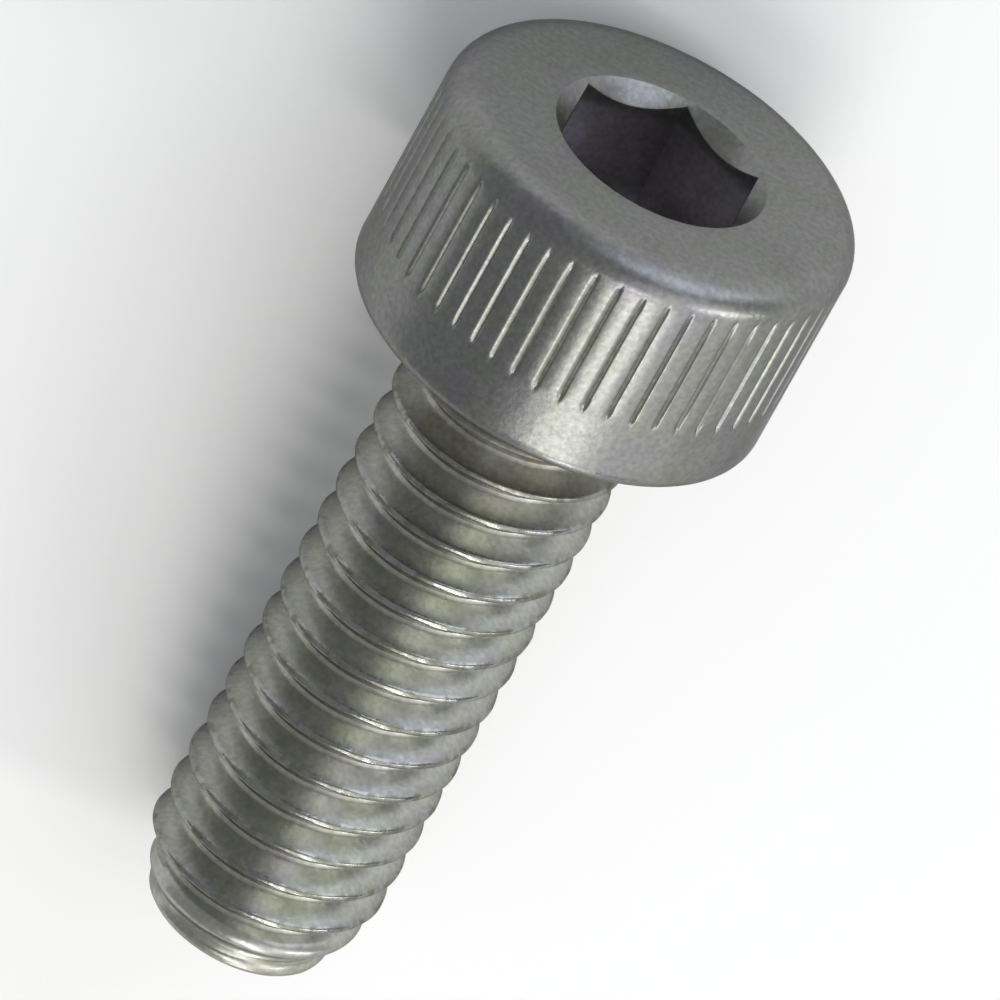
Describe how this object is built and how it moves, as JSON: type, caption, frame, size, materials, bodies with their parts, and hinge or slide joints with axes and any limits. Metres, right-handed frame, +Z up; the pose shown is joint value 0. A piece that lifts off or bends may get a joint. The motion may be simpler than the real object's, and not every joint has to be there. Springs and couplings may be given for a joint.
{
  "type": "hex socket cap screw",
  "caption": "Hex socket head cap screw, fully threaded M4 by 12 mm, with a knurled cylindrical head and rounded edges, lying on its side.",
  "frame": {"origin": "centre of the bounding box's foot, on the floor that the screw lies on", "axes": "+Z up; +Y runs from the head towards the tip, seen from above, with the screw's own axis 7.94 degrees below +Y; +X to the side"},
  "size_m": [0.007, 0.0164, 0.0074],
  "materials": {
    "steel": "dull grey stainless steel with a fine matt grain, brighter on worn crests and edges"
  },
  "bodies": {
    "root": {"cap_screw": "steel"}
  },
  "joints": []
}
